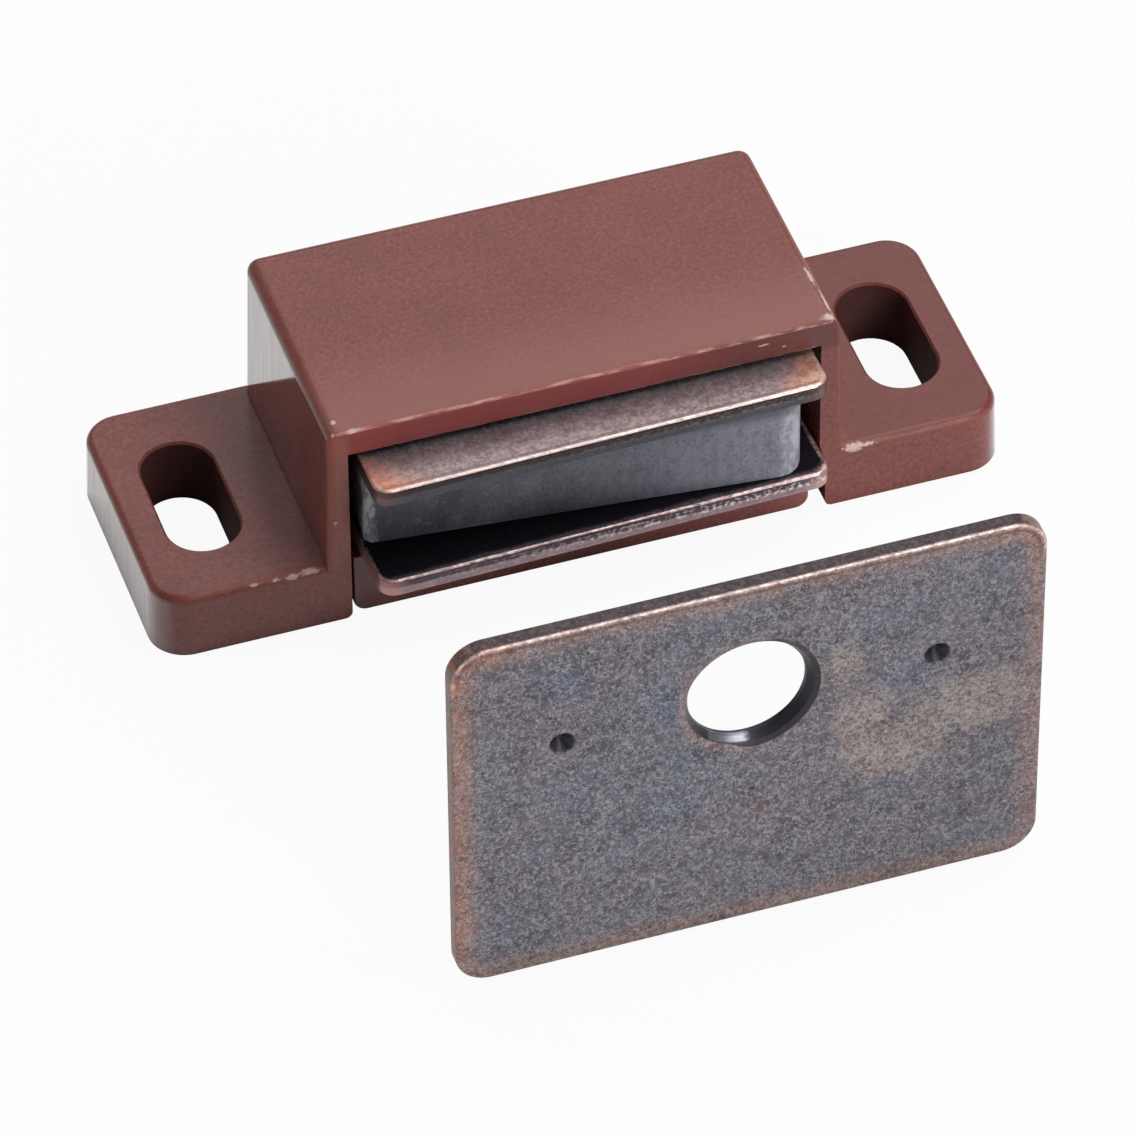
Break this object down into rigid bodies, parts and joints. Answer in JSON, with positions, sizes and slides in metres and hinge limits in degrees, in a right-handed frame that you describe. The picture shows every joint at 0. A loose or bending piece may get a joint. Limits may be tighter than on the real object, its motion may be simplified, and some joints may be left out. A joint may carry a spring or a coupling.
{
  "type": "magnetic cabinet catch",
  "caption": "Cabinet door catch: a plastic case with slotted ears holds a loose magnet between steel pole plates, with a separate countersunk strike plate for the door.",
  "frame": {"origin": "midway between the two screw slots, on the mounting face under the ears", "axes": "+X along the case from the left ear to the right ear as seen from the poles, -Y the way the poles face, +Z away from the mounting face"},
  "size_m": [0.058, 0.0522, 0.0282],
  "materials": {
    "brown_plastic": "satin moulded brown plastic with light scuffs",
    "antique_copper_steel": "steel plated in oxidised antique copper, dark slate with rubbed copper edges",
    "ferrite": "matt blue-grey sintered ferrite"
  },
  "bodies": {
    "housing": {"case": "brown_plastic", "base_cover": "brown_plastic"},
    "magnet_block": {"magnet": "ferrite"},
    "upper_pole": {"upper_pole_plate": "antique_copper_steel"},
    "lower_pole": {"lower_pole_plate": "antique_copper_steel"},
    "strike": {"strike_plate": "antique_copper_steel"}
  },
  "joints": [
    {"name": "pack_float", "type": "slide", "parent": "housing", "child": "magnet_block", "axis": [0, 1, 0], "range_m": [0, 0.0008]},
    {"name": "upper_rock", "type": "hinge", "parent": "magnet_block", "child": "upper_pole", "pos_m": [-0.0001, 0.0017, 0.01255], "axis": [0, 0, 1], "range_deg": [-1.25, 0]},
    {"name": "lower_rock", "type": "hinge", "parent": "magnet_block", "child": "lower_pole", "pos_m": [-0.00017, 0.00115, 0.00525], "axis": [0, 0, 1], "range_deg": [-1.5, 0]},
    {"name": "strike_close", "type": "slide", "parent": "housing", "child": "strike", "axis": [0, 1, 0], "range_m": [0, 0.0281]}
  ]
}
